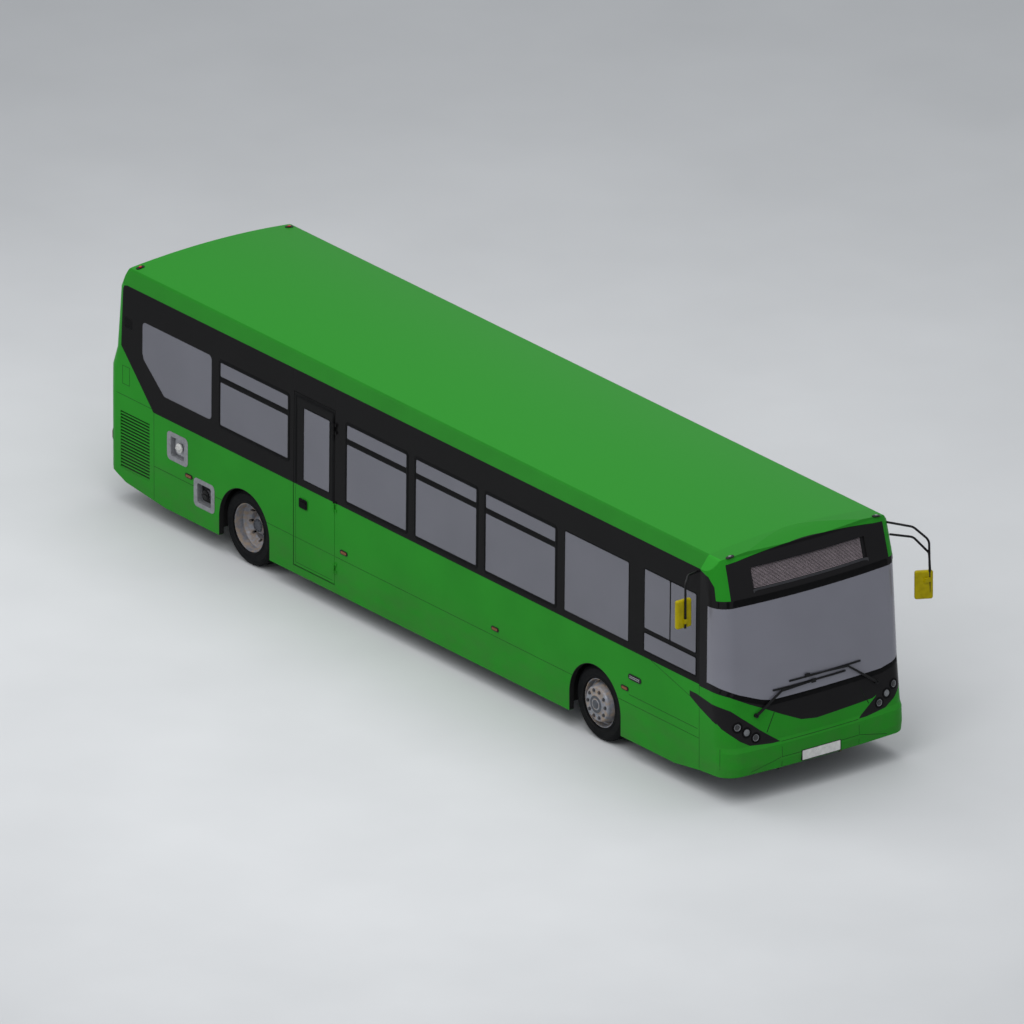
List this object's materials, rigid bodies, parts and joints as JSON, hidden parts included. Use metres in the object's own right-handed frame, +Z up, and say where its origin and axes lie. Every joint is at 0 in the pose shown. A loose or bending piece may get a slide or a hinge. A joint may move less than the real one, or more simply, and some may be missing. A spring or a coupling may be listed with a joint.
{
  "type": "single-deck low-floor city bus, right-hand drive",
  "caption": "Single-deck low-floor city bus with inward-swinging entrance doors, hinged emergency door, engine lid, steered front wheels and twin rear wheels.",
  "frame": {"origin": "on the ground below the centre of the body's length and width", "axes": "+X forward, +Y to the nearside (left), +Z up"},
  "size_m": [11.4998, 3.2078, 2.87],
  "materials": {
    "green_paint": "gloss paint",
    "black_gloss": "gloss",
    "tinted_glass": "tinted",
    "interior_panel": "grained",
    "chassis_steel": "satin paint",
    "dash_plastic": "grained",
    "seat_shell": "moulded",
    "seat_fabric": "moquette",
    "engine_iron": "cast",
    "bare_steel": "satin",
    "silver_paint": "silver paint",
    "tyre": "moulded",
    "wheel_steel": "silver paint, worn",
    "rail_yellow": "gloss paint",
    "lamp_glass": "clear",
    "lamp_red": "moulded",
    "rubber": "matt",
    "floor_vinyl": "flecked",
    "black_plastic": "satin",
    "mirror_yellow": "moulded"
  },
  "bodies": {
    "root": {"air_springs": "rubber", "cab_partition": "interior_panel", "chassis_frame": "chassis_steel", "dashboard": "dash_plastic", "destination_display": "black_gloss", "door_frames": "green_paint", "driver_seat": "seat_shell", "engine_block": "engine_iron", "filler_pockets": "silver_paint", "front_axle": "chassis_steel", "front_dome": "green_paint", "front_panel": "green_paint", "fuel_tank": "chassis_steel", "glazing": "tinted_glass", "grab_rails": "rail_yellow", "headlamps": "lamp_glass", "hinge_barrels": "bare_steel", "lamp_clusters": "black_gloss", "louvre_panel": "green_paint", "low_floor": "floor_vinyl", "mirror_arms": "black_plastic", "mirror_heads": "mirror_yellow", "rear_axle": "chassis_steel", "rear_floor": "floor_vinyl", "rear_panel": "green_paint", "roof_shell": "green_paint", "seat_pads": "seat_fabric", "seat_shells": "seat_shell", "side_panels": "green_paint", "tail_lamps": "lamp_red", "wheel_boxes": "interior_panel", "window_bands": "black_gloss", "windscreen": "tinted_glass", "windscreen_surround": "black_gloss", "wipers": "black_plastic"},
    "emergency_door": {"emergency_door": "green_paint", "emergency_door_glass": "tinted_glass"},
    "engine_lid": {"engine_lid": "green_paint"},
    "entrance_arm_rear": {"entrance_arm_rear": "bare_steel"},
    "entrance_arm_front": {"entrance_arm_front": "bare_steel"},
    "entrance_leaf_rear": {"entrance_leaf_rear": "black_gloss", "entrance_glass_rear": "tinted_glass"},
    "entrance_leaf_front": {"entrance_leaf_front": "black_gloss", "entrance_glass_front": "tinted_glass"},
    "knuckle_right": {"knuckle_right": "chassis_steel"},
    "knuckle_left": {"knuckle_left": "chassis_steel"},
    "track_rod": {"track_rod": "bare_steel"},
    "wheel_front_right": {"front_wheel_right": "wheel_steel", "front_tyre_right": "tyre"},
    "wheel_front_left": {"front_wheel_left": "wheel_steel", "front_tyre_left": "tyre"},
    "wheels_rear_right": {"rear_wheels_right": "wheel_steel", "rear_tyres_right": "tyre"},
    "wheels_rear_left": {"rear_wheels_left": "wheel_steel", "rear_tyres_left": "tyre"},
    "steering_wheel": {"steering_wheel": "black_plastic"}
  },
  "joints": [
    {"name": "emergency_door_hinge", "type": "hinge", "parent": "root", "child": "emergency_door", "pos_m": [-1.503, -1.263, 1.25], "axis": [0, 0, 1], "range_deg": [0, 100]},
    {"name": "engine_lid_hinge", "type": "hinge", "parent": "root", "child": "engine_lid", "pos_m": [-5.743, 0, 1.567], "axis": [0, 1, 0], "range_deg": [0, 80]},
    {"name": "entrance_arm_rear_swing", "type": "hinge", "parent": "root", "child": "entrance_arm_rear", "pos_m": [3.947, 1.175, 1.3], "axis": [0, 0, -1], "range_deg": [0, 90]},
    {"name": "entrance_leaf_rear_turn", "type": "hinge", "parent": "entrance_arm_rear", "child": "entrance_leaf_rear", "pos_m": [4.2585, 1.175, 1.3], "axis": [0, 0, 1], "range_deg": [0, 180]},
    {"name": "entrance_arm_front_swing", "type": "hinge", "parent": "root", "child": "entrance_arm_front", "pos_m": [5.153, 1.175, 1.3], "axis": [0, 0, 1], "range_deg": [0, 90]},
    {"name": "entrance_leaf_front_turn", "type": "hinge", "parent": "entrance_arm_front", "child": "entrance_leaf_front", "pos_m": [4.8415, 1.175, 1.3], "axis": [0, 0, -1], "range_deg": [0, 180]},
    {"name": "steer_right", "type": "hinge", "parent": "root", "child": "knuckle_right", "pos_m": [3.28, -0.96, 0.442], "axis": [0, 0, 1], "range_deg": [-45, 45]},
    {"name": "steer_left", "type": "hinge", "parent": "root", "child": "knuckle_left", "pos_m": [3.28, 0.96, 0.442], "axis": [0, 0, 1], "range_deg": [-45, 45]},
    {"name": "track_rod_pivot", "type": "hinge", "parent": "knuckle_left", "child": "track_rod", "pos_m": [3.15, 0.96, 0.262], "axis": [0, 0, 1], "range_deg": [-45, 45]},
    {"name": "steering_wheel_turn", "type": "hinge", "parent": "root", "child": "steering_wheel", "pos_m": [4.8, -0.74, 1.18], "axis": [-0.4695, 0, 0.8829], "range_deg": [-900, 900]},
    {"name": "wheel_front_right_spin", "type": "hinge", "parent": "knuckle_right", "child": "wheel_front_right", "pos_m": [3.28, -1.05, 0.442], "axis": [0, 1, 0], "continuous": true},
    {"name": "wheel_front_left_spin", "type": "hinge", "parent": "knuckle_left", "child": "wheel_front_left", "pos_m": [3.28, 1.05, 0.442], "axis": [0, 1, 0], "continuous": true},
    {"name": "wheels_rear_right_spin", "type": "hinge", "parent": "root", "child": "wheels_rear_right", "pos_m": [-3.18, -0.9, 0.442], "axis": [0, 1, 0], "continuous": true},
    {"name": "wheels_rear_left_spin", "type": "hinge", "parent": "root", "child": "wheels_rear_left", "pos_m": [-3.18, 0.9, 0.442], "axis": [0, 1, 0], "continuous": true}
  ],
  "couplings": [
    {"joint": "entrance_leaf_rear_turn", "follows": "entrance_arm_rear_swing", "ratio": 2},
    {"joint": "entrance_leaf_front_turn", "follows": "entrance_arm_front_swing", "ratio": 2},
    {"joint": "steer_left", "follows": "steer_right", "ratio": 1},
    {"joint": "track_rod_pivot", "follows": "steer_right", "ratio": -1},
    {"joint": "steering_wheel_turn", "follows": "steer_right", "ratio": 20}
  ]
}
